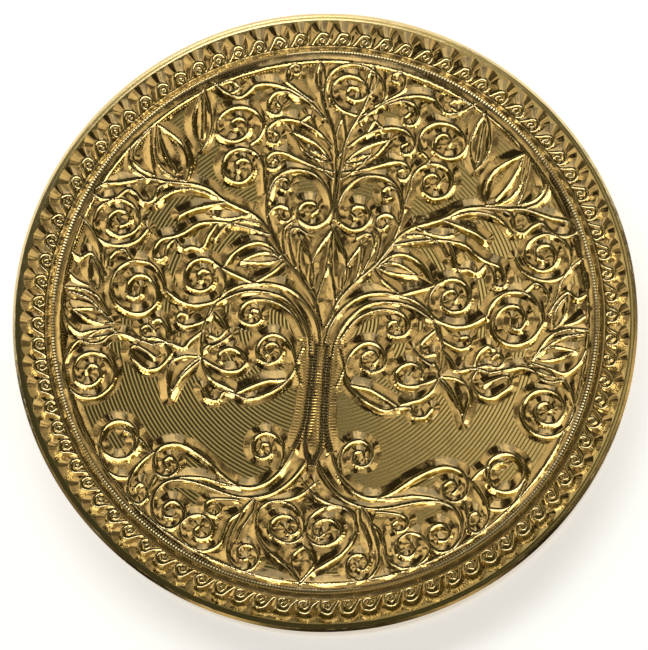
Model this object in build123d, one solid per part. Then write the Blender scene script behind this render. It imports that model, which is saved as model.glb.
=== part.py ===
from build123d import *
import math
import os

# A brass transit token: three turned rings pressed together, with the face cut in.
# The back lies on z = 0, the engraved face looks along +Z and the tree stands along +Y.

# ---- driving dimensions, in millimetres ----
TOKEN_DIAMETER = 30.0
THICKNESS = 3.0
EDGE_CHAMFER = 0.2

RING_BORE_RADIUS = 13.32        # seam between the outer ring and the reeded collar
CORE_RADIUS = 12.82             # seam between the reeded collar and the core disc
SEAM_CHAMFER = 0.15             # each side of a seam, so the seam shows as a V
BEAD_HEIGHT = 0.15              # rib that keeps a pressed piece from sliding out
BEAD_WIDTH = 0.7

WAVE_COUNT = 84                 # running scroll round the rim
WAVE_PHASE = 91.35              # angle of one wave's crest, degrees
WAVE_DEPTH = 0.46
WAVE_FLOOR_INNER = 13.52
WAVE_CREST_RADIUS = 14.1
SCALLOP_RADIUS = 0.5
EYE_RADIUS = 0.24
EYE_CIRCLE_RADIUS = 13.78
EYE_DROP = 0.16                 # top of each eye below the face

TREE_DEPTH = 0.38
LINE_WIDTH = 0.26
BOUGH_WIDTH = 0.4
TRUNK_WIDTH = 1.3
CUTTER_MOVE = 0.3                # the grooves are cut as straight moves of about this length

token_radius = TOKEN_DIAMETER / 2
middle = THICKNESS / 2


# ---- turned blanks ----
def turned(outline):
    """Revolve a closed radius-and-height outline about the token's axis."""
    with BuildPart() as blank:
        with BuildSketch(Plane.XZ):
            with BuildLine():
                Polyline(*outline, close=True)
            make_face()
        revolve(axis=Axis.Z)
    return blank.part


def seam_side(radius, top_radius):
    """One side of a seam, from the back up to the face: straight, bead, straight, chamfer."""
    return [
        (radius, 0),
        (radius, middle - BEAD_WIDTH / 2),
        (radius + BEAD_HEIGHT, middle),
        (radius, middle + BEAD_WIDTH / 2),
        (radius, THICKNESS - SEAM_CHAMFER),
        (top_radius, THICKNESS),
    ]


def outer_ring_blank():
    inner = seam_side(RING_BORE_RADIUS, RING_BORE_RADIUS + SEAM_CHAMFER)
    outer = [
        (token_radius - EDGE_CHAMFER, THICKNESS),
        (token_radius, THICKNESS - EDGE_CHAMFER),
        (token_radius, EDGE_CHAMFER),
        (token_radius - EDGE_CHAMFER, 0),
    ]
    return turned(inner + outer)


def collar_blank():
    inner = seam_side(CORE_RADIUS, CORE_RADIUS + SEAM_CHAMFER)
    outer = seam_side(RING_BORE_RADIUS, RING_BORE_RADIUS - SEAM_CHAMFER)
    return turned(inner + outer[::-1])


def core_blank():
    outer = seam_side(CORE_RADIUS, CORE_RADIUS - SEAM_CHAMFER)
    return turned([(0, 0)] + outer + [(0, THICKNESS)])


# ---- outer ring: a scalloped running scroll sunk in the face ----
def on_circle(radius, degrees):
    angle = math.radians(degrees)
    return radius * math.cos(angle), radius * math.sin(angle)


wave_angles = [WAVE_PHASE + 360 / WAVE_COUNT * index for index in range(WAVE_COUNT)]

with BuildSketch(Plane.XY.offset(THICKNESS)) as scroll_floor:
    Circle(WAVE_CREST_RADIUS)
    with Locations(*[on_circle(WAVE_CREST_RADIUS, angle) for angle in wave_angles]):
        Circle(SCALLOP_RADIUS)
    Circle(WAVE_FLOOR_INNER, mode=Mode.SUBTRACT)

with BuildSketch(Plane.XY.offset(THICKNESS - WAVE_DEPTH)) as scroll_eyes:
    with Locations(*[on_circle(EYE_CIRCLE_RADIUS, angle) for angle in wave_angles]):
        Circle(EYE_RADIUS)

outer_ring = outer_ring_blank()
outer_ring -= extrude(scroll_floor.sketch, amount=-WAVE_DEPTH)
outer_ring += extrude(scroll_eyes.sketch, amount=WAVE_DEPTH - EYE_DROP)

# ---- reeded collar ----
reeded_collar = collar_blank()


# ---- core disc: the tree, cut as channels ----
def spiral(center, radius, start, turns, shrink):
    """Points of a scroll from its rim inwards; positive turns run anticlockwise."""
    steps = max(6, round(abs(turns) * 10))
    points = []
    for step in range(steps + 1):
        share = step / steps
        reach = radius * (1 - (1 - shrink) * share)
        angle = math.radians(start + 360 * turns * share)
        points.append((center[0] + reach * math.cos(angle), center[1] + reach * math.sin(angle)))
    return points


# strokes of the left half, each (width, points); the right half mirrors them
LEFT_STROKES = [
    # root that runs out, over the lower sky, and curls down
    (BOUGH_WIDTH, [(-0.6, -5.6), (-1.3, -6.9), (-2.1, -7.9), (-3.2, -8.3), (-4.3, -7.9), (-5.4, -7.0),
                   (-6.3, -6.55)] + spiral((-6.85, -7.3), 0.8, 80, 0.9, 0.45)),
    # root scroll beside the trunk
    (LINE_WIDTH, [(-1.15, -6.7)] + spiral((-2.2, -6.4), 0.75, 0, 1.25, 0.3)),
    # lower root and its large scroll
    (BOUGH_WIDTH, [(-0.4, -7.2), (-1.1, -8.2), (-2.4, -8.78), (-3.8, -8.72), (-5.2, -8.3)]
     + spiral((-6.45, -9.6), 1.1, 80, 1.2, 0.35)),
    # ring scroll at the left edge
    (LINE_WIDTH, spiral((-9.2, -6.5), 0.97, 0, 0.9, 0.99)),
    # heart
    (LINE_WIDTH, [(0, -12.5), (-1.3, -11.7), (-2.05, -10.8)] + spiral((-0.95, -10.1), 0.95, 190, -0.95, 0.55)),
    # middle bough
    (BOUGH_WIDTH, [(-0.3, -1.2), (-0.75, 0.3), (-1.6, 1.25), (-2.7, 1.52), (-4.0, 1.35), (-5.3, 0.5),
                   (-6.4, 0.2), (-7.4, 0.6)]),
    # scrolls off the middle bough
    (LINE_WIDTH, spiral((-6.1, 1.5), 0.85, -60, 1.2, 0.4)),
    (LINE_WIDTH, [(-1.1, -0.9), (-1.7, 0.1), (-2.6, 0.65)] + spiral((-3.45, 0.05), 0.5, 90, 0.75, 0.6)),
    (LINE_WIDTH, [(-1.2, -2.4)] + spiral((-2.45, -1.6), 0.75, 20, 1.2, 0.4)),
    # outer boughs and their scrolls
    (LINE_WIDTH, spiral((-9.0, 0.8), 1.25, 140, 1.3, 0.3)),
    (LINE_WIDTH, spiral((-11.05, -3.45), 1.2, 120, -1.3, 0.3)),
    (LINE_WIDTH, spiral((-10.3, 4.3), 1.15, -60, 1.3, 0.3)),
    (LINE_WIDTH, spiral((-5.0, 9.1), 0.95, -60, 1.3, 0.3)),
    (LINE_WIDTH, spiral((-4.7, 7.1), 0.9, 180, 1.2, 0.3)),
    (LINE_WIDTH, spiral((-1.0, 5.55), 1.0, 60, 0.9, 0.7)),
    (BOUGH_WIDTH, [(-1.0, 1.3), (-2.0, 2.6), (-2.9, 4.2), (-3.2, 5.8), (-2.9, 6.8), (-2.1, 7.15), (-1.0, 6.9),
                   (-0.2, 6.2)]),
    (BOUGH_WIDTH, [(-2.2, 2.7), (-3.6, 4.2), (-5.4, 5.6), (-7.2, 6.1), (-9.0, 6.0), (-10.3, 5.8)]),
    (LINE_WIDTH, [(-0.1, 7.0), (-0.3, 8.6), (-1.1, 10.2), (-2.4, 11.1), (-3.6, 10.9)]),
]
TOP_SCROLL = [(0.0, 6.6), (-0.15, 8.4), (-0.75, 10.1)] + spiral((0.5, 11.3), 1.45, 215, -1.6, 0.35)


def channel(width, points):
    """A groove's floor: a smooth line given a width, cut as short straight moves."""
    line = Spline(*points)
    moves = math.ceil(line.length / CUTTER_MOVE)
    left, right = [], []
    for move in range(moves + 1):
        at = line.position_at(move / moves)
        along = line.tangent_at(move / moves)
        aside = Vector(-along.Y, along.X) * (width / 2)
        left.append(at + aside)
        right.append(at - aside)
    return Sketch() + make_face(Polyline(*left, *right[::-1], close=True))


def mirrored(points):
    return [(-x, y) for x, y in points]


trunk_floor = Pos(0, -3.2) * Rectangle(TRUNK_WIDTH, 5.2)
tree_floor = trunk_floor + channel(LINE_WIDTH, TOP_SCROLL)
for stroke_width, stroke_points in LEFT_STROKES:
    tree_floor += channel(stroke_width, stroke_points)
    tree_floor += channel(stroke_width, mirrored(stroke_points))

core_disc = core_blank()
core_disc -= extrude(Pos(0, 0, THICKNESS) * tree_floor, amount=-TREE_DEPTH)

# ---- one file for each piece ----
pieces = {
    "outer_ring": outer_ring,
    "reeded_collar": reeded_collar,
    "core_disc": core_disc,
}
os.makedirs("parts", exist_ok=True)
for name, shape in pieces.items():
    shape.label = name
    export_step(shape, f"parts/{name}.step")
    print(name, "volume", round(shape.volume, 2), "solids", len(shape.solids()))
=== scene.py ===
import math

import bpy
import numpy as np
from mathutils import Matrix, Vector


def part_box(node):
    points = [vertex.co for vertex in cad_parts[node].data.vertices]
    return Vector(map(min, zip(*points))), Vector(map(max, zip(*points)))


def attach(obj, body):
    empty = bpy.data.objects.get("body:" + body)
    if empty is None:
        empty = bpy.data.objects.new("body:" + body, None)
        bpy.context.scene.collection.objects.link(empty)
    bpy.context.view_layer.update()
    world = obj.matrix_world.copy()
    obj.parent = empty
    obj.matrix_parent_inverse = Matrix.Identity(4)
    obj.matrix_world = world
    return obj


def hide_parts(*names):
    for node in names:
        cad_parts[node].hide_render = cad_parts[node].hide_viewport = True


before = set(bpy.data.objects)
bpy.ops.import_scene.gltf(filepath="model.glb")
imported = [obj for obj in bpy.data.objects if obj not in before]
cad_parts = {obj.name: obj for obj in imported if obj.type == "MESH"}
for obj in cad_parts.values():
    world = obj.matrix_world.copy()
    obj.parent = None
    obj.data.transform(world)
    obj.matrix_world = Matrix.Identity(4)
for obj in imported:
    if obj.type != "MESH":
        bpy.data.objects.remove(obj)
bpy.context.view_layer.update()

# Core disc: a turned brass disc with a tree cut into its face by a round-nosed V cutter. The
# sloping walls beside each line meet the next line's walls in a ridge, and the trunk's wide
# lines have a rough flat floor. The disc is pressed into the reeded collar.

MM = 0.001
core_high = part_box("core_disc")[1]
FACE = core_high[2] / MM
CORE_RADIUS = core_high[0] / MM

TREE_DEPTH = 0.3        # bottom of a tree line below the face
TREE_SLOPE = 0.8        # rise of a wall for each millimetre sideways
TREE_UNEVENNESS = 0.012  # share by which the slope wanders from move to move
WIDE_DEPTH = 0.35       # floor of a line that the cutter went along more than once
WIDE_FLOOR = 0.08       # a line with a wider floor than this is a wide one
CUTTER_NOSE = 0.045     # how gently the bottom of a line turns up into its walls
CUTTER_MOVE = 0.12      # curves are cut as straight moves about this long
CUTTER_REACH = 0.75     # no line's wall comes up to the face further away than this
GRID = 0.06             # spacing of the surface points
FAR = 9.0               # stands for a distance or height out of reach
FINE = 0.0              # floor widths: none where the cutter went along once
VINE = 0.02
BOUGH = 0.05
TRUNK = 0.1


def smooth_line(points, move=CUTTER_MOVE):
    """The straight moves that follow a smooth curve through the points."""
    points = np.array(points, float)
    if len(points) < 3:
        return points
    ends = np.vstack([2 * points[0] - points[1], points, 2 * points[-1] - points[-2]])
    line = [points[0]]
    for a, b, c, d in zip(ends, ends[1:], ends[2:], ends[3:]):
        steps = max(1, round(math.dist(b, c) / move))
        for step in range(1, steps + 1):
            t = step / steps
            line.append(0.5 * (2 * b + (c - a) * t + (2 * a - 5 * b + 4 * c - d) * t**2
                               + (3 * b - a - 3 * c + d) * t**3))
    return np.array(line)


# Each line of the left half of the tree: its floor width and the points it passes through.
# Millimetres from the token's axis, with the tree standing along +Y.
left_lines = []


def vine(width, *points):
    left_lines.append((width, points))


def leaf(base, tip, left, right):
    """Two bowed lines from a leaf's base to its tip, each bulging by its own amount."""
    along = np.subtract(tip, base)
    across = np.array([-along[1], along[0]]) / np.hypot(*along)
    fullness = 0.85     # below 1 the leaf is widest nearer to its base
    for bulge in (left, -right):
        shares = np.linspace(0, 1, 9)
        bow = np.sin(math.pi * shares**fullness) * bulge
        vine(FINE, *[np.array(base) + along * s + across * b for s, b in zip(shares, bow)])


def curl(centre, radius, start, turns, end_radius):
    """Points of a scroll about its centre; start is in degrees and turns run anticlockwise."""
    steps_per_turn = 12
    steps = max(5, round(abs(turns) * steps_per_turn))
    shares = np.linspace(0, 1, steps + 1)
    reach = radius + (end_radius - radius) * shares
    angle = np.radians(start + 360 * turns * shares)
    return np.column_stack([centre[0] + reach * np.cos(angle), centre[1] + reach * np.sin(angle)])


# trunk
vine(TRUNK, (-0.24, -1.3), (-0.24, -2.4), (-0.27, -3.6), (-0.32, -4.8), (-0.38, -5.8), (-0.3, -6.4),
     (-0.08, -7.0))
vine(TRUNK, (-0.43, -1.9), (-0.44, -2.8), (-0.47, -4.0), (-0.52, -5.0), (-0.66, -5.7), (-0.87, -6.3))
# roots
vine(BOUGH, (-0.85, -6.1), (-1.1, -6.8), (-1.5, -7.5), (-2.05, -8.05), (-2.7, -8.33), (-3.4, -8.3),
     (-4.05, -7.95), (-4.8, -7.35), (-5.5, -6.9), (-6.1, -6.62), (-6.7, -6.58), (-7.25, -6.8),
     (-7.52, -7.3), (-7.4, -7.95), (-6.9, -8.2), (-6.45, -7.95), (-6.38, -7.5), (-6.75, -7.2),
     (-7.05, -7.5), (-6.85, -7.8))
vine(VINE, (-3.3, -8.38), (-4.1, -8.28), (-5.0, -8.1), (-5.9, -8.12), (-6.6, -8.28))
vine(VINE, (-1.5, -7.4), (-1.36, -6.75), (-1.45, -6.2), (-1.75, -5.82), (-2.25, -5.66), (-2.72, -5.88),
     (-2.88, -6.35), (-2.7, -6.8), (-2.3, -6.9), (-1.98, -6.65), (-2.05, -6.25), (-2.4, -6.2),
     (-2.5, -6.5))
vine(BOUGH, (-0.25, -6.7), (-0.5, -7.3), (-1.0, -7.95), (-1.6, -8.45), (-2.3, -8.75), (-3.1, -8.86),
     (-4.0, -8.72), (-4.8, -8.48), (-5.6, -8.3), (-6.4, -8.28), (-7.0, -8.55), (-7.38, -9.2),
     (-7.35, -9.95), (-6.95, -10.5), (-6.35, -10.62), (-5.88, -10.2), (-5.92, -9.6), (-6.4, -9.3),
     (-6.82, -9.6), (-6.75, -10.05), (-6.4, -10.1))
vine(VINE, (0.25, -7.9), (-0.3, -8.45), (-0.9, -8.75), (-1.6, -8.9))
# heart
vine(VINE, (0, -12.75), (-0.5, -12.15), (-1.15, -11.65), (-1.75, -11.2), (-2.2, -10.6), (-2.38, -9.95),
     (-2.25, -9.35), (-1.85, -8.98), (-1.3, -8.87), (-0.7, -9.05), (-0.22, -9.5), (-0.05, -10.05),
     (-0.15, -10.5), (-0.55, -10.8), (-1.1, -10.78), (-1.58, -10.45), (-1.68, -10.0), (-1.35, -9.62),
     (-0.85, -9.55), (-0.42, -9.85), (-0.38, -10.25), (-0.68, -10.45), (-0.9, -10.25))
leaf((0, -10.95), (0, -12.6), 0.52, 0.52)
vine(VINE, (-2.6, -8.9), (-3.0, -9.4), (-3.3, -10.1), (-3.55, -10.8), (-3.6, -11.5), (-3.3, -12.1),
     (-2.8, -12.35), (-2.3, -12.15), (-2.1, -11.65), (-2.35, -11.18), (-2.85, -11.1), (-3.12, -11.45),
     (-2.95, -11.82), (-2.65, -11.75))
vine(VINE, (-2.5, -9.0), (-2.62, -9.6), (-3.0, -10.3), (-3.2, -10.9))
# lower left scrolls
vine(VINE, (-3.15, -9.6), (-3.6, -9.95), (-3.85, -10.6), (-4.05, -11.2), (-4.65, -11.55),
     (-5.3, -11.45), (-5.85, -11.0), (-5.95, -10.4), (-5.5, -9.95), (-4.9, -9.88), (-4.45, -10.3),
     (-4.55, -10.85), (-5.0, -11.0), (-5.3, -10.7), (-5.1, -10.4))
vine(VINE, (-3.3, -9.0), (-3.9, -9.0), (-4.5, -9.05), (-4.85, -9.3), (-4.75, -9.7), (-4.35, -9.85),
     (-4.1, -9.6), (-4.3, -9.35))
vine(VINE, (-7.55, -7.05), (-8.05, -7.5), (-8.45, -8.1), (-8.65, -8.8), (-8.45, -9.35), (-8.05, -9.6),
     (-7.72, -9.3), (-7.75, -8.8), (-8.05, -8.6), (-8.3, -8.85))
vine(VINE, (-7.35, -8.2), (-7.6, -8.8), (-7.7, -9.3))
vine(VINE, *curl((-9.25, -6.6), 0.92, -30, 1.0, 0.92))
vine(VINE, *curl((-9.25, -6.6), 0.92, -60, 0.35, 0.5))
vine(VINE, (-8.4, -6.4), (-8.0, -6.7), (-7.7, -7.1))
vine(VINE, (-10.2, -7.0), (-9.9, -7.9), (-9.3, -8.35), (-8.7, -8.4))
# first bough
vine(BOUGH, (-0.08, -1.4), (-0.2, -0.6), (-0.5, 0.15), (-0.95, 0.75), (-1.5, 1.2), (-2.1, 1.45),
     (-2.8, 1.53), (-3.45, 1.5), (-4.2, 1.75), (-5.0, 2.05), (-5.5, 2.3))
vine(VINE, (-3.4, 1.5), (-4.2, 1.3), (-4.8, 0.95), (-5.3, 0.5), (-5.6, 0.35), (-6.3, 0.2), (-7.0, 0.35),
     (-7.7, 0.8))
vine(BOUGH, (-0.5, -2.6), (-0.58, -1.2), (-0.85, -0.4), (-1.3, 0.3), (-1.9, 0.85), (-2.6, 1.08),
     (-3.4, 1.12), (-4.1, 1.0), (-4.7, 0.72), (-5.2, 0.4))
vine(VINE, (-0.85, -0.9), (-1.4, 0.0), (-2.0, 0.48), (-2.7, 0.72), (-3.4, 0.7), (-3.9, 0.45),
     (-4.1, 0.0), (-3.9, -0.4), (-3.4, -0.52), (-3.05, -0.25), (-3.15, 0.15), (-3.5, 0.2),
     (-3.6, -0.05))
vine(VINE, (-0.85, -3.2), (-1.12, -2.4), (-1.35, -1.65), (-1.75, -1.12), (-2.3, -0.9), (-2.85, -1.12),
     (-3.12, -1.65), (-2.98, -2.12), (-2.5, -2.33), (-2.05, -2.12), (-1.92, -1.7), (-2.15, -1.38),
     (-2.52, -1.35), (-2.75, -1.65), (-2.55, -1.92))
vine(VINE, (-0.9, -1.4), (-1.1, -2.0), (-1.32, -2.8), (-1.8, -3.38), (-2.5, -3.85), (-3.3, -4.12),
     (-3.9, -3.95), (-4.5, -3.9), (-4.75, -4.3), (-5.2, -4.25), (-5.5, -3.85))
vine(VINE, (-3.9, -3.9), (-3.2, -3.5), (-2.5, -3.18), (-1.95, -3.1), (-1.6, -3.05))
# leaf cluster left of the first bough
leaf((-2.3, 2.75), (-4.25, 2.5), -0.38, -0.12)
vine(VINE, (-5.1, 2.1), (-4.75, 2.75), (-4.2, 3.25), (-3.5, 3.5), (-2.9, 3.35), (-2.4, 2.9))
# inner bough
vine(BOUGH, (-0.12, -0.3), (-0.5, 0.8), (-0.95, 1.5), (-1.5, 2.15), (-2.1, 2.75), (-2.6, 3.45),
     (-3.05, 4.4), (-3.28, 5.5), (-3.1, 6.5), (-2.5, 7.08), (-1.7, 7.2), (-0.95, 6.95), (-0.38, 6.3),
     (-0.14, 5.5), (-0.35, 4.85), (-0.9, 4.5), (-1.45, 4.65), (-1.75, 5.15), (-1.5, 5.6), (-1.0, 5.65),
     (-0.8, 5.35), (-1.05, 5.1))
vine(VINE, (-3.25, 5.4), (-3.12, 6.1), (-2.88, 6.6), (-2.5, 6.72), (-2.22, 6.45), (-2.35, 6.12),
     (-2.65, 6.2))
vine(VINE, (-3.2, 4.8), (-2.95, 5.2), (-2.55, 5.38), (-2.15, 5.2), (-2.05, 4.8), (-2.35, 4.6), (-2.6, 4.85))
vine(VINE, (-2.2, 2.6), (-2.7, 2.1), (-3.4, 1.6))
# centre leaves
leaf((0, -0.5), (0, 2.65), 0.45, 0.45)
leaf((-0.45, 1.0), (0.0, 4.4), 0.62, 0.1)
leaf((-0.75, 1.3), (-1.45, 3.75), 0.32, 0.3)
vine(VINE, (-1.6, 2.4), (-1.9, 3.2), (-2.05, 4.1), (-1.7, 4.35), (-1.2, 4.1))
vine(VINE, (-2.2, 3.0), (-2.35, 3.8), (-2.3, 4.3), (-2.0, 4.6))
# stem and top
vine(BOUGH, (0, 4.9), (-0.05, 6.2), (-0.08, 7.2), (-0.15, 8.2), (-0.35, 9.1), (-0.7, 9.9), (-1.0, 10.6),
     (-1.2, 11.4), (-1.25, 12.0))
leaf((0.0, 8.0), (0.02, 10.0), 0.25, 0.25)
leaf((-1.15, 11.1), (-1.3, 12.6), 0.25, 0.22)
vine(VINE, (-0.85, 9.8), (-1.4, 10.35), (-2.1, 10.85), (-2.8, 11.15), (-3.6, 11.3), (-4.3, 11.2),
     (-4.6, 10.9), (-5.0, 10.55), (-5.5, 10.6), (-6.0, 10.85), (-6.3, 11.1))
vine(VINE, (-2.2, 10.75), (-2.8, 10.98), (-3.4, 10.85), (-3.68, 10.35), (-3.5, 9.88), (-3.12, 9.82),
     (-2.98, 10.15), (-3.2, 10.4))
vine(VINE, (-0.4, 8.5), (-0.9, 8.98), (-1.5, 9.35), (-2.2, 9.6), (-2.9, 9.6), (-3.4, 9.3), (-3.6, 8.85),
     (-3.4, 8.42), (-3.05, 8.42), (-2.95, 8.75), (-3.2, 8.92))
vine(VINE, (-1.2, 9.2), (-1.55, 9.85), (-1.95, 9.6))
leaf((-0.35, 7.7), (-2.35, 9.0), 0.38, 0.25)
vine(VINE, (-0.2, 7.2), (-0.9, 7.35), (-1.9, 7.7), (-2.6, 7.95), (-3.2, 7.93), (-3.5, 7.55),
     (-3.3, 7.15), (-2.95, 7.18), (-2.88, 7.5), (-3.1, 7.62))
leaf((-0.2, 6.9), (-1.5, 8.2), 0.1, 0.42)
vine(VINE, (-1.5, 10.6), (-2.3, 11.1), (-2.8, 11.5), (-2.85, 12.0), (-2.6, 12.35), (-2.25, 12.25),
     (-2.25, 11.95), (-2.5, 11.9))
# upper left scrolls
vine(VINE, (-3.35, 5.9), (-3.5, 6.6), (-3.62, 7.3), (-4.05, 7.85), (-4.75, 8.02), (-5.4, 7.7),
     (-5.58, 7.05), (-5.25, 6.5), (-4.65, 6.35), (-4.18, 6.75), (-4.2, 7.3), (-4.62, 7.52),
     (-4.98, 7.25), (-4.85, 6.95))
vine(VINE, (-3.85, 7.7), (-4.35, 8.15), (-3.95, 8.6), (-3.78, 9.2), (-4.05, 9.75), (-4.65, 10.05),
     (-5.4, 9.95), (-5.95, 9.45), (-6.0, 8.8), (-5.6, 8.42), (-5.0, 8.38), (-4.55, 8.75), (-4.6, 9.3),
     (-5.0, 9.52), (-5.35, 9.25), (-5.2, 8.95))
# horizontal bough
vine(BOUGH, (-2.5, 3.3), (-3.2, 4.3), (-3.9, 4.85), (-4.7, 5.15), (-5.4, 5.45), (-6.0, 5.85),
     (-6.7, 6.05), (-7.5, 6.08), (-8.3, 6.1), (-9.1, 6.18), (-9.9, 6.0), (-10.5, 5.85), (-11.2, 5.75),
     (-11.7, 5.3), (-11.2, 5.0), (-10.6, 5.1), (-10.05, 5.55), (-9.6, 5.4), (-9.15, 5.0), (-8.75, 5.2),
     (-8.6, 5.75), (-8.2, 6.0))
vine(FINE, (-5.7, 5.5), (-6.6, 5.78), (-7.5, 5.75), (-8.2, 5.4), (-8.7, 4.9))
vine(VINE, (-5.3, 5.3), (-6.2, 5.05), (-6.9, 4.8), (-7.4, 4.5))
leaf((-7.25, 6.15), (-8.95, 8.85), 0.75, 0.72)
vine(VINE, (-7.7, 6.5), (-8.2, 7.2), (-8.6, 8.0), (-8.8, 8.6))
leaf((-8.75, 6.3), (-9.2, 8.65), 0.1, -1.0)
vine(VINE, (-9.2, 6.2), (-9.75, 6.5), (-10.1, 7.0), (-10.1, 7.6), (-9.7, 8.1), (-9.3, 8.5))
leaf((-6.6, 7.85), (-6.85, 10.8), 0.5, 0.42)
vine(VINE, (-6.7, 8.3), (-6.75, 9.2), (-6.85, 10.2))
leaf((-5.1, 11.0), (-6.15, 11.0), 0.3, 0.25)
# leafy branch, upper left
vine(VINE, (-3.0, 3.9), (-4.0, 4.15), (-5.0, 4.3), (-5.8, 4.3), (-6.5, 4.15), (-7.1, 3.7), (-7.6, 3.45),
     (-8.2, 3.25), (-8.5, 2.75), (-8.4, 2.3), (-8.0, 2.35), (-7.9, 2.9), (-7.6, 3.3))
vine(VINE, (-5.6, 4.2), (-5.95, 3.6), (-6.2, 3.0), (-6.7, 3.0), (-7.1, 2.9), (-7.5, 3.3))
vine(FINE, (-3.9, 4.9), (-4.6, 4.62), (-5.3, 4.5), (-5.8, 4.6))
vine(FINE, (-3.6, 4.4), (-4.5, 4.45), (-5.2, 4.1), (-5.6, 3.5))
# left scrolls
vine(VINE, (-5.1, 0.6), (-4.9, 1.15), (-4.98, 1.7), (-5.4, 2.28), (-6.1, 2.5), (-6.7, 2.2), (-6.9, 1.6),
     (-6.6, 1.05), (-6.0, 0.92), (-5.55, 1.25), (-5.6, 1.75), (-6.0, 1.95), (-6.3, 1.7), (-6.15, 1.4))
vine(VINE, (-7.7, 0.75), (-7.9, 1.35), (-8.25, 1.8), (-8.8, 2.1), (-9.6, 2.05), (-10.2, 1.55),
     (-10.4, 0.75), (-10.05, 0.0), (-9.4, -0.4), (-8.7, -0.38), (-8.18, 0.1), (-8.2, 0.85),
     (-8.65, 1.38), (-9.25, 1.4), (-9.62, 0.9), (-9.4, 0.35), (-9.0, 0.4), (-8.95, 0.8))
vine(VINE, (-8.9, 3.7), (-9.3, 3.15), (-9.9, 2.85), (-10.6, 2.8), (-11.25, 3.1), (-11.55, 3.7),
     (-11.4, 4.5), (-10.8, 4.95), (-10.1, 5.0), (-9.5, 4.6), (-9.3, 3.95), (-9.65, 3.45),
     (-10.25, 3.25), (-10.75, 3.55), (-10.85, 4.1), (-10.45, 4.5), (-9.95, 4.4), (-9.85, 3.95),
     (-10.2, 3.75))
vine(VINE, (-8.1, -1.9), (-8.9, -1.68), (-9.6, -1.5), (-10.2, -1.62), (-10.6, -1.98), (-11.15, -2.08),
     (-11.7, -2.0), (-12.1, -2.6), (-12.3, -3.4), (-12.0, -4.2), (-11.3, -4.68), (-10.5, -4.6),
     (-9.9, -4.0), (-9.85, -3.2), (-10.3, -2.62), (-11.0, -2.5), (-11.6, -2.8), (-11.8, -3.4),
     (-11.5, -4.0), (-10.9, -4.1), (-10.5, -3.7), (-10.6, -3.2), (-11.0, -3.1), (-11.2, -3.4))
vine(FINE, (-10.1, -1.1), (-11.0, -0.2), (-11.6, 0.15), (-12.4, 0.35))
vine(VINE, (-10.3, -0.7), (-10.8, 0.08), (-11.3, 0.4), (-11.9, 0.55), (-12.6, 0.55))
leaf((-10.1, -1.0), (-12.1, -0.5), 0.25, 0.35)
vine(VINE, (-10.1, -1.25), (-11.0, -1.45), (-11.7, -1.6), (-12.3, -1.1), (-12.6, -0.4))
leaf((-9.9, -1.4), (-11.3, -1.85), 0.1, 0.25)
# left lower leaves
vine(VINE, (-5.3, 0.2), (-5.6, -0.4), (-6.2, -0.75), (-6.7, -0.85), (-7.1, -0.6), (-6.95, -0.25),
     (-6.6, -0.3))
vine(VINE, (-5.5, 0.1), (-5.75, -0.8), (-5.8, -1.6), (-5.7, -2.3))
vine(VINE, (-5.75, -1.0), (-6.3, -1.5), (-6.6, -1.9), (-7.1, -1.8), (-7.5, -1.75), (-8.0, -1.85))
leaf((-5.72, -2.3), (-7.05, -4.4), -0.25, 1.0)
vine(VINE, (-5.8, -2.5), (-6.5, -3.2), (-6.95, -4.0))
vine(VINE, (-7.5, -1.8), (-7.3, -2.4), (-7.7, -2.95), (-8.25, -3.1), (-8.75, -2.8), (-9.15, -2.4),
     (-9.0, -2.0), (-8.4, -2.2), (-7.9, -2.5))
vine(VINE, (-7.5, -1.7), (-8.0, -1.55), (-8.5, -1.6), (-8.75, -1.2), (-8.45, -0.95), (-8.15, -1.15))
vine(VINE, (-7.3, -1.6), (-7.5, -1.0), (-7.9, -0.62), (-8.2, -0.75))
vine(VINE, (-5.0, -1.6), (-5.5, -1.75), (-5.7, -2.2), (-5.5, -2.9), (-5.0, -3.4), (-4.5, -3.6),
     (-4.0, -3.8))
vine(VINE, (-5.6, -2.4), (-5.1, -2.65), (-4.5, -2.85), (-3.9, -2.78), (-3.6, -2.4), (-3.85, -1.95),
     (-4.4, -1.75), (-4.9, -2.05), (-4.85, -2.45))
vine(VINE, (-4.4, -1.1), (-4.85, -1.5), (-5.3, -1.75))
vine(VINE, (-5.3, -0.1), (-4.9, -0.5), (-4.7, -0.9), (-5.0, -1.3), (-5.4, -1.2))
# upper left edge leaves
vine(FINE, (-10.9, 1.6), (-11.1, 2.6), (-11.5, 3.4), (-12.1, 4.0))
leaf((-11.0, 0.5), (-11.5, 2.15), 0.25, 0.25)
vine(VINE, (-10.7, 1.2), (-11.0, 1.8), (-11.5, 2.3), (-12.0, 2.05), (-12.45, 2.3))
vine(VINE, (-9.5, 2.2), (-9.9, 2.6), (-10.3, 2.5), (-10.6, 2.1), (-10.6, 1.7))
vine(VINE, (-12.4, 1.2), (-12.0, 0.9), (-11.5, 0.7))

# the one scroll that has no twin, at the head of the stem
top_scroll = [
    (-0.85, 10.3), (-1.0, 11.1), (-0.88, 11.85), (-0.45, 12.38), (0.3, 12.6), (1.15, 12.4),
    (1.8, 11.85), (1.95, 11.05), (1.5, 10.4), (0.7, 10.1), (-0.12, 10.35), (-0.62, 10.95),
    (-0.55, 11.6), (-0.05, 12.0), (0.6, 11.95), (1.08, 11.5), (1.0, 11.0), (0.5, 10.82),
    (0.1, 11.1), (0.2, 11.45), (0.55, 11.45),
]

tree_lines = list(left_lines)
for width, points in left_lines:
    tree_lines.append((width, [(-x, y) for x, y in points]))
tree_lines.append((VINE, top_scroll))

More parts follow.
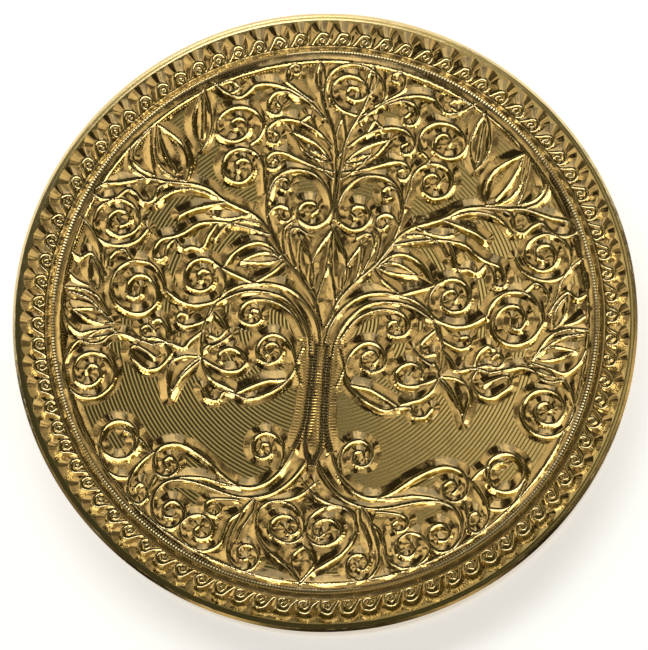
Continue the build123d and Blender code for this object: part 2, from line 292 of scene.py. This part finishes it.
MEDALLION_RADIUS = 12.68    # a line cut all round the tree
medallion_turn = np.linspace(0, 2 * math.pi, 181)
medallion_line = MEDALLION_RADIUS * np.column_stack([np.cos(medallion_turn), np.sin(medallion_turn)])
tree_lines.append((FINE, medallion_line))


def moves_of(lines, depth, slope, wide_depth, unevenness):
    """The cutter's straight moves as arrays: start, end, half floor width, depth and slope.

    The slope wanders a little from move to move, as by hand.
    """
    starts, ends, half_widths = [], [], []
    hand = np.random.default_rng(3)
    for width, points in lines:
        line = smooth_line(points)
        starts.append(line[:-1])
        ends.append(line[1:])
        half_widths.append(np.full(len(line) - 1, width / 2))
    starts = np.vstack(starts)
    count = len(starts)
    half_widths = np.concatenate(half_widths)
    return {
        "start": starts, "end": np.vstack(ends), "half": half_widths,
        "depth": np.where(half_widths > WIDE_FLOOR / 2, wide_depth, depth),
        "slope": slope * (1 + unevenness * hand.uniform(-1, 1, count)),
    }


def cut_heights(points, moves):
    """Height of the cut surface above the face at each point, with the nearest line's pull.

    Returns the height, the direction away from the nearest line, how far the point is from
    that line's floor edge, the step that would bring it onto the ridge between two lines, and
    how steeply the surface rises there. The points are taken a square block at a time.
    """
    block = 1.0
    other_wall = 0.8    # two pulls more alike than this belong to the same wall
    total = len(points)
    height = np.zeros(total)
    away = np.zeros((total, 2))
    to_floor = np.full(total, FAR)
    to_ridge = np.full((total, 2), FAR)
    rise = np.zeros(total)
    low = np.minimum(moves["start"], moves["end"]) - CUTTER_REACH
    high = np.maximum(moves["start"], moves["end"]) + CUTTER_REACH
    cells = np.floor(points / block).astype(int)
    order = np.lexsort((cells[:, 1], cells[:, 0]))
    changes = np.flatnonzero(np.any(np.diff(cells[order], axis=0), axis=1)) + 1
    for group in np.split(order, changes):
        corner = cells[group[0]] * block
        near = np.all((low < corner + block) & (high > corner), axis=1)
        if not near.any():
            continue
        start = moves["start"][near]
        run = moves["end"][near] - start
        here = points[group]
        offset = here[:, None, :] - start[None]
        share = np.clip((offset * run).sum(-1) / np.maximum((run**2).sum(-1), 1e-12), 0, 1)
        offset -= share[..., None] * run
        distance = np.sqrt((offset**2).sum(-1)) + 1e-9
        direction = offset / distance[..., None]
        beyond = distance - moves["half"][near]
        slope = moves["slope"][near]
        outside = np.maximum(beyond, 0)
        swing = np.hypot(outside, CUTTER_NOSE)
        level = slope * (swing - CUTTER_NOSE) - moves["depth"][near]
        rows = np.arange(len(group))
        first = np.argmin(level + 1e-6 * distance, axis=1)
        best = level[rows, first]
        pull = direction[rows, first]
        turned = (direction * pull[:, None, :]).sum(-1)
        other = np.where(turned < other_wall, level, FAR)
        second = np.argmin(other, axis=1)
        gap = other[rows, second] - best
        split = pull - direction[rows, second]
        size = np.sqrt((split**2).sum(-1)) + 1e-9
        step = gap / (slope[first] * size)
        height[group] = best
        away[group] = pull
        rise[group] = (slope * outside / swing)[rows, first]
        narrow = moves["half"][near][first] < TRUNK / 2
        to_floor[group] = np.where(narrow, distance[rows, first], beyond[rows, first])
        alone = (size < 0.5) | (best >= 0) | (gap > FAR / 2)
        to_ridge[group] = np.where(alone[:, None], FAR, split / size[:, None] * step[:, None])
    return height, away, to_floor, to_ridge, rise


def onto_creases(points, moves, spacing, slope):
    """Move the points that lie near a ridge, a floor's edge or the face's edge onto it."""
    height, away, to_floor, to_ridge, _ = cut_heights(points, moves)
    limit = 0.46 * spacing      # just under half, so that neighbours never swap places
    shift = np.zeros_like(points)
    face_step = -height / slope
    near_face = np.abs(face_step) < limit
    shift[near_face] = (away * face_step[:, None])[near_face]
    near_floor = np.abs(to_floor) < limit
    shift[near_floor] = (-away * to_floor[:, None])[near_floor]
    near_ridge = np.hypot(*to_ridge.T) < limit
    shift[near_ridge] = to_ridge[near_ridge]
    return points + shift


def cut_surface(points, moves, foot):
    """Height of the finished surface above the face, and its normal, at each point.

    The foot gives the height and radial rise of whatever runs round the edge of the piece.
    """
    height, away, _, _, rise = cut_heights(points, moves)
    outward = points / np.hypot(*points.T)[:, None]
    foot_height, foot_rise = foot(points)
    lean = np.where((foot_height < height)[:, None], outward * foot_rise, away * rise[:, None])
    height = np.minimum(height, foot_height)
    lean[height >= 0] = 0
    normal = np.column_stack([-lean, np.ones(len(points))])
    return np.minimum(height, 0), normal / np.linalg.norm(normal, axis=1)[:, None]


SAME_WALL = math.radians(24)    # surfaces that meet at a sharper angle keep a crisp crease


def triangles_of(corners, points, moves, foot):
    """Two triangles for each four-cornered cell, split along the crease that crosses it.

    Also the normal at each corner of each triangle: that of the smooth wall it belongs to,
    so that the walls meet in crisp ridges.
    """
    middle_height = cut_surface(points[corners, :2].mean(axis=1), moves, foot)[0]
    one = points[corners[:, 0], 2] + points[corners[:, 2], 2]
    two = points[corners[:, 1], 2] + points[corners[:, 3], 2]
    along_first = np.abs(one / 2 - middle_height) <= np.abs(two / 2 - middle_height)
    a, b, c, d = corners.T
    first = np.where(along_first[:, None], np.stack([a, b, c], 1), np.stack([a, b, d], 1))
    second = np.where(along_first[:, None], np.stack([a, c, d], 1), np.stack([b, c, d], 1))
    triangles = np.vstack([first, second])
    at_points = cut_surface(points[:, :2], moves, foot)[1][triangles]
    at_middle = cut_surface(points[triangles, :2].mean(axis=1), moves, foot)[1][:, None, :]
    same_wall = (at_points * at_middle).sum(-1, keepdims=True) > math.cos(SAME_WALL)
    return triangles, np.where(same_wall, at_points, at_middle)


def mesh_piece(name, node, points, faces, normals=None):
    """A smooth-shaded object from points in millimetres, in place of a node of the token."""
    mesh = bpy.data.meshes.new(name)
    mesh.from_pydata((np.asarray(points) * MM).tolist(), [], [f.tolist() for f in faces])
    mesh.shade_smooth()
    if normals is None:
        mesh.set_sharp_from_angle(angle=math.radians(40))
    else:
        mesh.normals_split_custom_set(np.vstack([n.reshape(-1, 3) for n in normals]).tolist())
    piece = bpy.data.objects.new(name, mesh)
    bpy.context.scene.collection.objects.link(piece)
    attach(piece, "root")
    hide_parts(node)
    return piece


def round_normals(points, faces, outward, upward):
    """Corner normals of a turned surface: the same outward and upward lean all round."""
    flat = points[faces][..., :2]
    flat = flat / np.maximum(np.linalg.norm(flat, axis=-1, keepdims=True), 1e-9)
    return np.concatenate([flat * outward, np.full((*faces.shape, 1), upward)], -1)


def no_foot(points):
    """The core's face runs level to its edge."""
    return np.zeros(len(points)), 0


# the face: a square grid trimmed to a circle, its outermost points moved out to the edge
tree_moves = moves_of(tree_lines, TREE_DEPTH, TREE_SLOPE, WIDE_DEPTH, TREE_UNEVENNESS)
count = math.ceil(2 * CORE_RADIUS / GRID) + 1
places = (np.arange(count) - (count - 1) / 2) * GRID
flat = np.stack([grid.ravel() for grid in np.meshgrid(places, places)], axis=1)
index = np.arange(count * count).reshape(count, count)
cells = np.stack([index[:-1, :-1], index[:-1, 1:], index[1:, 1:], index[1:, :-1]], -1).reshape(-1, 4)
cells = cells[np.hypot(*flat[cells].mean(axis=1).T) < CORE_RADIUS - 0.3 * GRID]
uses = np.bincount(cells.ravel(), minlength=len(flat))
rim_points = (uses > 0) & (uses < 4)
flat = onto_creases(flat, tree_moves, GRID, TREE_SLOPE)
flat[rim_points] *= (CORE_RADIUS / np.hypot(*flat[rim_points].T))[:, None]
kept = np.flatnonzero(uses)
renumber = np.zeros(len(flat), int)
renumber[kept] = np.arange(len(kept))
flat = flat[kept]
cells = renumber[cells]
rim = renumber[np.flatnonzero(rim_points)]
surface = np.column_stack([flat, cut_surface(flat, tree_moves, no_foot)[0]])
top_faces, top_normals = triangles_of(cells, surface, tree_moves, no_foot)
surface[:, 2] += FACE

# the plain side and back: the edge's points again at the back's level, and one in its middle
rim = rim[np.argsort(np.arctan2(flat[rim, 1], flat[rim, 0]))]
below = surface[rim].copy()
below[:, 2] = 0
low_rim = len(surface) + np.arange(len(rim))
core_points = np.vstack([surface, below, [[0, 0, 0]]])
next_rim = np.roll(rim, -1)
next_low = np.roll(low_rim, -1)
side_faces = np.stack([next_rim, rim, low_rim, next_low], 1)
back_faces = np.stack([next_low, low_rim, np.full(len(rim), len(core_points) - 1)], 1)
core = mesh_piece(
    "core_tree", "core_disc", core_points, [*top_faces, *side_faces, *back_faces],
    [top_normals, round_normals(core_points, side_faces, 1, 0),
     round_normals(core_points, back_faces, 0, -1)],
)


class Shade:
    """One socket of a node tree. Sums written with it become Math nodes."""

    def __init__(self, tree, socket=None):
        self.tree = tree
        self.socket = socket

    def make(self, kind, settings=(), output=0, **values):
        """A node: its settings are set first, then its sockets' values or links.

        A socket is given by its name, with _ for a space, or as _ and its number.
        """
        node = self.tree.nodes.new(kind)
        for name, value in dict(settings).items():
            setattr(node, name, value)
        for name, value in values.items():
            key = int(name[1:]) if name[0] == "_" else name.replace("_", " ")
            if isinstance(value, Shade):
                self.tree.links.new(value.socket, node.inputs[key])
            else:
                node.inputs[key].default_value = value
        return Shade(self.tree, node.outputs[output] if node.outputs else None)

    def sum(self, operation, *values):
        named = {f"_{place}": value for place, value in enumerate(values)}
        return self.make("ShaderNodeMath", {"operation": operation}, **named)

    def __add__(self, other):
        return self.sum("ADD", self, other)

    def __radd__(self, other):
        return self.sum("ADD", other, self)

    def __sub__(self, other):
        return self.sum("SUBTRACT", self, other)

    def __rsub__(self, other):
        return self.sum("SUBTRACT", other, self)

    def __mul__(self, other):
        return self.sum("MULTIPLY", self, other)

    def __rmul__(self, other):
        return self.sum("MULTIPLY", other, self)

    def between(self, low, high):
        """0 below low, 1 above high and smooth in between."""
        return self.make(
            "ShaderNodeMapRange", {"interpolation_type": "SMOOTHSTEP"},
            Value=self, From_Min=low, From_Max=high,
        )

    def mix(self, first, second):
        """A colour from first to second as this value goes from 0 to 1."""
        return self.make("ShaderNodeMix", {"data_type": "RGBA"}, output=2, _0=self, _6=first, _7=second)


def noise(sheet, where, scale, detail=2.0, roughness=0.5):
    """Cloudy noise with about this many clouds to the millimetre."""
    return sheet.make(
        "ShaderNodeTexNoise", Vector=where, Scale=scale, Detail=detail, Roughness=roughness
    )


LIGHT_BRASS = (0.81, 0.645, 0.33, 1)
WARM_BRASS = (0.75, 0.61, 0.33, 1)
STAINED_BRASS = (0.62, 0.46, 0.27, 1)
DARK_TARNISH = (0.02, 0.012, 0.004, 1)
PALE_TARNISH = (0.10, 0.066, 0.02, 1)
# painted shade for the bottoms of the cut lines
GROOVE_PAINTED_SHADE = (0.16, 0.11, 0.045, 1)
# dirt and painted shade along the seams
SEAM_DIRT_AND_SHADE = (0.10, 0.06, 0.028, 1)
OUTER_SEAM = 13.35      # the seam between the collar and the outer ring, darkened with dirt and painted shade
RING_PITCH = 0.176      # feed of the lathe tool
RING_HEIGHT = 0.0015    # half the height of the rings that it left on the face
RING_WANDER = 0.06
TICK_PITCH = 0.14       # marks that the cutter left across the trunk's long walls
TICK_HEIGHT = 0.0032
TICK_WANDER = 0.1
GRAIN_HEIGHT = 0.0009
FLECK_HEIGHT = 0.0006
FLOOR_GRIT = 0.02       # extra height of the flecks on the rough floors


def brass(name, line_depth, floor_depth, ring_strength=1.0, wall_rough=0.05, groove_shade_strength=0.7,
          swell_height=0.034, ticks=False):
    """Turned brass: bright cut walls, tarnished floors, painted shade in the lines' bottoms, dirt and
    painted shade in the seams.

    line_depth is the bottom of the cut lines and floor_depth the level of the rough floors.
    """
    material = bpy.data.materials.new(name)
    material.use_nodes = True
    tree = material.node_tree
    tree.nodes.clear()
    sheet = Shade(tree)
    place = sheet.make("ShaderNodeTexCoord", output="Object")
    place = sheet.make("ShaderNodeVectorMath", {"operation": "SCALE"}, _0=place, Scale=1 / MM)
    x = sheet.make("ShaderNodeSeparateXYZ", Vector=place)
    y = Shade(tree, x.socket.node.outputs["Y"])
    z = Shade(tree, x.socket.node.outputs["Z"])
    radius = sheet.sum("SQRT", x * x + y * y)
    depth = FACE - z

    # where the surface is: a rough floor, the turned face, a line's bottom, beside a seam
    floor = depth.between(floor_depth - 0.012, floor_depth - 0.004)
    floor = floor * (1 - depth.between(floor_depth + 0.02, floor_depth + 0.04))
    face = 1 - depth.between(0.022, 0.04)
    line_bottom = (1 - floor) * depth.between(line_depth - 0.012, line_depth - 0.002)
    from_inner = sheet.sum("ABSOLUTE", radius - CORE_RADIUS)
    from_outer = sheet.sum("ABSOLUTE", radius - OUTER_SEAM)
    to_seam = sheet.sum("MINIMUM", from_inner, from_outer)

    broad = noise(sheet, place, 0.35, 3.0)
    blotch = noise(sheet, place, 1.6, 4.0, 0.6)
    grain = noise(sheet, place, 14.0, 3.0, 0.6)
    fleck = noise(sheet, place, 30.0, 2.0, 0.7)
    swell = noise(sheet, place, 1.2, 1.5)

    stain = blotch.between(0.5, 0.72)
    seam = (1 - to_seam.between(0.02, 0.1)) * blotch.between(0.3, 0.5)
    gold = broad.between(0.35, 0.65).mix(LIGHT_BRASS, WARM_BRASS)
    gold = (stain * 0.3).mix(gold, STAINED_BRASS)
    # painted shade: the bottoms of the cut lines are darkened
    gold = (line_bottom * groove_shade_strength).mix(gold, GROOVE_PAINTED_SHADE)
    tarnish = grain.between(0.3, 0.7).mix(DARK_TARNISH, PALE_TARNISH)
    colour = (floor * 0.96).mix(gold, tarnish)
    # the seams are darkened in blotches: dirt in the joints, and painted shade over the deep foot of the
    # border
    colour = (seam * 0.65).mix(colour, SEAM_DIRT_AND_SHADE)
    rough = wall_rough + grain * 0.04 + stain * 0.05 + face * 0.05 + floor * 0.17 + seam * 0.15

    ring = sheet.sum("SINE", (radius + broad * RING_WANDER) * (2 * math.pi / RING_PITCH))
    relief = ring * face * (RING_HEIGHT * ring_strength)
    relief = relief + (fleck - 0.5) * (FLECK_HEIGHT + floor * FLOOR_GRIT)
    relief = relief + (grain - 0.5) * GRAIN_HEIGHT
    relief = relief + (swell - 0.5) * (1 - face) * swell_height
    if ticks:
        on_trunk = 1 - sheet.sum("ABSOLUTE", x).between(1.0, 1.3)
        on_trunk = on_trunk * y.between(-6.4, -5.6) * (1 - y.between(-1.2, -0.6))
        steps = sheet.sum("SINE", (y + broad * TICK_WANDER) * (2 * math.pi / TICK_PITCH))
        relief = relief + steps * on_trunk * (1 - face) * TICK_HEIGHT
    bump = sheet.make("ShaderNodeBump", Strength=1.0, Distance=MM, Height=relief)
    shader = sheet.make(
        "ShaderNodeBsdfPrincipled", Base_Color=colour, Metallic=1.0, Roughness=rough, Normal=bump
    )
    sheet.make("ShaderNodeOutputMaterial", Surface=shader)
    return material


core.data.materials.append(brass("core brass", TREE_DEPTH, WIDE_DEPTH, ticks=True))

# Reeded collar: a narrow brass ring between two seams, with fine upright ticks rolled round
# its crest. It is pressed over the core.

COLLAR_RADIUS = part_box("reeded_collar")[1][0] / MM
REEDS = 558
REED_DEPTH = 0.042
STEPS_PER_REED = 6
WAVE_DEPTH = 0.44       # the border outside the collar is cut this far below the face

# across the collar's crest: distance from the axis, height from the face, share of the reeding
collar_profile = np.array([
    (CORE_RADIUS, -0.226, 0), (12.87, -0.17, 0.8), (12.93, -0.13, 1), (13.0, -0.11, 1),
    (13.08, -0.1, 1), (13.15, -0.12, 1), (13.21, -0.18, 0.8), (13.28, -0.34, 0.3),
    (COLLAR_RADIUS, -WAVE_DEPTH, 0),
])
collar_columns = REEDS * STEPS_PER_REED
collar_turn = np.linspace(0, 2 * math.pi, collar_columns, endpoint=False)
crest = 0.5 + 0.5 * np.cos(2 * math.pi * np.arange(collar_columns) / STEPS_PER_REED)
wear = 0.75 + 0.25 * np.sin(collar_turn * 7 + 0.6) * np.sin(collar_turn * 3 + 2.1)
profile_radii, profile_heights, reeding = collar_profile.T[..., None]
collar_heights = profile_heights - REED_DEPTH * (1 - crest) * wear * reeding
collar_radii = np.vstack([
    np.repeat(profile_radii, collar_columns, axis=1),
    np.full(collar_columns, COLLAR_RADIUS), np.full(collar_columns, CORE_RADIUS),
])
collar_heights = np.vstack([collar_heights, np.full((2, collar_columns), -FACE)])
rows = len(collar_radii)
collar_points = np.stack([
    collar_radii * np.cos(collar_turn), collar_radii * np.sin(collar_turn), collar_heights + FACE,
], -1).reshape(-1, 3)
index = np.arange(rows * collar_columns).reshape(rows, collar_columns)
ahead = np.roll(index, -1, axis=1)
next_row = np.roll(index, -1, axis=0)
collar_faces = np.stack([index, next_row, np.roll(ahead, -1, axis=0), ahead], -1).reshape(-1, 4)
collar = mesh_piece("reeded_band", "reeded_collar", collar_points, collar_faces)
collar.data.materials.append(brass(
    "collar brass", WAVE_DEPTH, WAVE_DEPTH + 0.1, ring_strength=0.0, wall_rough=0.2
))

# Outer ring: the token's rim and edge in turned brass, with a running scroll of small curled
# waves cut round it by the same V cutter. It is pressed over the reeded collar.

TOKEN_RADIUS = min(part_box("outer_ring")[1][:2]) / MM
WAVES = 84
WAVE_SLOPE = 0.94
WAVE_UNEVENNESS = 0.02  # share by which the slope of a wave's walls wanders
WAVE_LINE = 0.02        # floor width of a wave's line
FIRST_CREST = 91.35     # degrees from +X to the first wave's crest
POINT_WOBBLE = 0.018    # how far the hand strays at each point and at each wave
WAVE_WOBBLE = 0.02
BORDER_EDGE = 14.63     # where the border meets the rim
BORDER_ROWS = 28
BORDER_STEP = 0.046     # smaller spacing of the border's points
COLUMNS_PER_WAVE = 24
FOOT_WIDTH = 0.03       # flat foot beside the seam, and the rise that follows it
FOOT_RISE = 1.2
RIM_FALL = 0.02         # the rim's flat leans outward a little
RIM_CHAMFER = 0.14
RIM_CHAMFER_DROP = 0.126
BACK_CHAMFER = 0.2

# one wave, as millimetres clockwise of its crest and distance from the axis
wave_shape = [
    (-0.92, 13.36), (-0.55, 13.5), (-0.32, 13.78), (-0.17, 14.02), (0.03, 14.1), (0.24, 14.02),
    (0.34, 13.82), (0.29, 13.6), (0.1, 13.48), (-0.1, 13.56), (-0.14, 13.76), (0.0, 13.88),
    (0.12, 13.78), (0.05, 13.68),
]
hand = np.random.default_rng(7)
wave_lines = []
for wave in range(WAVES):
    crest_angle = math.radians(FIRST_CREST) - 2 * math.pi * wave / WAVES
    wobble = hand.normal(0, POINT_WOBBLE, (len(wave_shape), 2))
    turn = hand.normal(0, WAVE_WOBBLE)
    line = []
    for (sideways, radius), (slip, lift) in zip(wave_shape, wobble):
        angle = crest_angle - (sideways + slip + turn) / radius
        line.append(((radius + lift) * math.cos(angle), (radius + lift) * math.sin(angle)))
    wave_lines.append((WAVE_LINE, line))
wave_moves = moves_of(wave_lines, WAVE_DEPTH, WAVE_SLOPE, WAVE_DEPTH, WAVE_UNEVENNESS)


def border_foot(points):
    """The groove at the foot of the border, beside the seam."""
    beyond = np.hypot(points[:, 0], points[:, 1]) - COLLAR_RADIUS - FOOT_WIDTH
    return np.minimum(0, -WAVE_DEPTH + FOOT_RISE * beyond.clip(0)), FOOT_RISE


ring_columns = WAVES * COLUMNS_PER_WAVE
ring_turn = np.linspace(0, 2 * math.pi, ring_columns, endpoint=False)
border_radii = np.linspace(COLLAR_RADIUS, BORDER_EDGE, BORDER_ROWS)
grid_radius, grid_turn = np.meshgrid(border_radii, ring_turn, indexing="ij")
flat = np.stack([grid_radius * np.cos(grid_turn), grid_radius * np.sin(grid_turn)], -1).reshape(-1, 2)
inner_rows = slice(ring_columns, -ring_columns)
flat[inner_rows] = onto_creases(flat, wave_moves, BORDER_STEP, WAVE_SLOPE)[inner_rows]
border = np.column_stack([flat, cut_surface(flat, wave_moves, border_foot)[0]])
index = np.arange(BORDER_ROWS * ring_columns).reshape(BORDER_ROWS, ring_columns)
ahead = np.roll(index, -1, axis=1)
cells = np.stack([index[:-1], index[1:], ahead[1:], ahead[:-1]], -1).reshape(-1, 4)
border_faces, border_normals = triangles_of(cells, border, wave_moves, border_foot)
border[:, 2] += FACE

# the turned rest of the ring, from the border's outer edge round the back to its inner edge
rest_profile = [
    (BORDER_EDGE, FACE), (TOKEN_RADIUS - RIM_CHAMFER, FACE - RIM_FALL),
    (TOKEN_RADIUS, FACE - RIM_FALL - RIM_CHAMFER_DROP), (TOKEN_RADIUS, BACK_CHAMFER),
    (TOKEN_RADIUS - BACK_CHAMFER, 0), (COLLAR_RADIUS, 0), (COLLAR_RADIUS, FACE - WAVE_DEPTH),
]
ring_points = [border]
ring_faces = [border_faces]
ring_normals = [border_normals]
outer_loop = index[-1]
for (radius, level), (next_radius, next_level) in zip(rest_profile, rest_profile[1:]):
    if next_radius == COLLAR_RADIUS and next_level > 0:
        next_loop = index[0]
    else:
        next_loop = sum(map(len, ring_points)) + np.arange(ring_columns)
        ring_points.append(np.column_stack([
            next_radius * np.cos(ring_turn), next_radius * np.sin(ring_turn),
            np.full(ring_columns, next_level),
        ]))
    faces = np.stack([outer_loop, next_loop, np.roll(next_loop, -1), np.roll(outer_loop, -1)], 1)
    length = math.hypot(next_radius - radius, next_level - level)
    ring_faces.append(faces)
    ring_normals.append(round_normals(
        np.vstack(ring_points), faces, (level - next_level) / length, (next_radius - radius) / length,
    ))
    outer_loop = next_loop
outer = mesh_piece(
    "scroll_rim", "outer_ring", np.vstack(ring_points), [f for group in ring_faces for f in group],
    ring_normals,
)
outer.data.materials.append(brass(
    "ring brass", WAVE_DEPTH, WAVE_DEPTH + 0.1, ring_strength=0.3, wall_rough=0.06,
    groove_shade_strength=0.2, swell_height=0.01,
))

# Studio: a sheet of pale paper for the token to lie on, a wide soft window beyond it and a faint
# doorway on the viewer's side. The dim room has uneven walls and a paler patch of ceiling, which
# the polished brass mirrors.

PAPER_HALF = 0.6
PAPER_LEVEL = -0.00005                  # just under the token's back, so that the two don't mix
VIEW_TILT = math.radians(8.8)           # off the token's axis
VIEW_SIDE = math.radians(290)           # side that the camera leans to, round the axis
PICTURE_UP = math.radians(95.15)        # direction on the face that is up in the picture
VIEW_DISTANCE = 0.18
FRAME_WIDTH = 31.13 * MM                # width of the view at the token's face
AIM_BELOW = 0.31 * MM                   # how far below the face's centre the camera aims
SENSOR_WIDTH = 36
LAMP_DISTANCE = 0.5

paper_mesh = bpy.data.meshes.new("floor")
paper_mesh.from_pydata(
    [(x * PAPER_HALF, y * PAPER_HALF, PAPER_LEVEL) for x, y in ((-1, -1), (1, -1), (1, 1), (-1, 1))],
    [], [(0, 1, 2, 3)],
)
floor_piece = bpy.data.objects.new("floor", paper_mesh)
bpy.context.scene.collection.objects.link(floor_piece)
paper_material = bpy.data.materials.new("pale paper")
paper_material.use_nodes = True
paper = paper_material.node_tree.nodes["Principled BSDF"]
paper.inputs["Base Color"].default_value = (0.93, 0.92, 0.9, 1)
paper.inputs["Roughness"].default_value = 0.9
paper.inputs["Emission Color"].default_value = (1, 1, 1, 1)
paper.inputs["Emission Strength"].default_value = 0.6
paper_mesh.materials.append(paper_material)

picture_up = Vector((math.cos(PICTURE_UP), math.sin(PICTURE_UP), 0))
picture_right = Vector((math.sin(PICTURE_UP), -math.cos(PICTURE_UP), 0))
face_centre = Vector((0, 0, FACE * MM))


def place_light(name, bearing, rise, width, depth, radiance, colour):
    """A soft box aimed at the token. Its bearing runs clockwise from the picture's top.

    All four angles are in degrees; width and depth are how large it looks from the token.
    """
    bearing = math.radians(bearing)
    rise = math.radians(rise)
    level = picture_up * math.cos(bearing) + picture_right * math.sin(bearing)
    direction = level * math.cos(rise) + Vector((0, 0, math.sin(rise)))
    data = bpy.data.lights.new(name, "AREA")
    data.shape = "RECTANGLE"
    data.size = 2 * LAMP_DISTANCE * math.tan(math.radians(width / 2))
    data.size_y = 2 * LAMP_DISTANCE * math.tan(math.radians(depth / 2))
    data.energy = radiance * math.pi * data.size * data.size_y
    data.color = colour
    lamp = bpy.data.objects.new(name, data)
    lamp.location = face_centre + direction * LAMP_DISTANCE
    lamp.rotation_euler = direction.to_track_quat("Z", "Y").to_euler()
    bpy.context.scene.collection.objects.link(lamp)


place_light("window", -13, 53, 54, 20, 4.2, (0.94, 0.98, 1.04))
place_light("doorway", 185, 24, 36, 16, 0.4, (1.0, 0.92, 0.8))

# the room: its walls' bright and dark stretches, then its ceiling overhead
BLACK = (0.0, 0.0, 0.0, 1)
WARM_WALL = (1.0, 0.80, 0.48, 1)
DIM_CEILING = (0.050, 0.050, 0.028, 1)
LIT_CEILING = (0.90, 0.78, 0.48, 1)
CEILING_EDGE = (0.64, 0.56, 0.30, 1)    # where the ceiling meets the window's wall

world = bpy.data.worlds.new("room")
world.use_nodes = True
room = Shade(world.node_tree)
toward = room.make("ShaderNodeTexCoord", output="Generated")
height = room.make("ShaderNodeSeparateXYZ", output="Z", Vector=toward)
flat_x = Shade(room.tree, height.socket.node.outputs["X"])
flat_y = Shade(room.tree, height.socket.node.outputs["Y"])
bearing = room.sum("ARCTAN2", flat_y, flat_x)
level = 0.35 + 0.06 * room.sum("COSINE", bearing * 2) + 0.07 * room.sum("SINE", bearing * 3 + 1.0)
level = level + 0.22 * room.sum("SINE", bearing * 7 + height * 14)
level = level + 0.08 * room.sum("SINE", bearing * 13 + height * 9)
level = level + 0.06 * room.sum("SINE", bearing)
level = room.sum("MAXIMUM", level, 0.1)
level = level * level * 2.5 * (0.22 + 0.78 * height.between(0.01, 0.22))
walls = level.mix(BLACK, WARM_WALL)


def along(direction):
    """How far a ray heads in a direction, from -1 to 1."""
    return room.make(
        "ShaderNodeVectorMath", {"operation": "DOT_PRODUCT"}, output="Value", _0=toward, _1=direction
    )


east = along(picture_right)
north = along(picture_up)
ceiling = east.between(-0.075, 0.05) * (1 - east.between(0.14, 0.24)) * north.between(-0.02, 0.1)
ceiling = ceiling * (1 - north.between(0.2, 0.28))
overhead = ceiling.mix(DIM_CEILING, LIT_CEILING)
edge = north.between(0.25, 0.38) * (1 - east.between(0.0, 0.2)) * east.between(-0.6, -0.4)
overhead = edge.mix(overhead, CEILING_EDGE)
glow = height.between(0.4, 0.75).mix(walls, overhead)
world.node_tree.links.new(glow.socket, world.node_tree.nodes["Background"].inputs["Color"])
bpy.context.scene.world = world

camera_data = bpy.data.cameras.new("camera")
camera_data.sensor_width = SENSOR_WIDTH
camera_data.lens = SENSOR_WIDTH * VIEW_DISTANCE / FRAME_WIDTH
camera_data.clip_start = 0.01
camera = bpy.data.objects.new("camera", camera_data)
bpy.context.scene.collection.objects.link(camera)
lean = Vector((math.cos(VIEW_SIDE), math.sin(VIEW_SIDE), 0)) * math.sin(VIEW_TILT)
outward = lean + Vector((0, 0, math.cos(VIEW_TILT)))
position = face_centre - picture_up * AIM_BELOW + outward * VIEW_DISTANCE
back = outward.normalized()
right = picture_up.cross(back).normalized()
turned = Matrix((right, back.cross(right), back)).transposed()
camera.matrix_world = Matrix.Translation(position) @ turned.to_4x4()
bpy.context.scene.camera = camera
bpy.context.scene.view_settings.view_transform = "Standard"
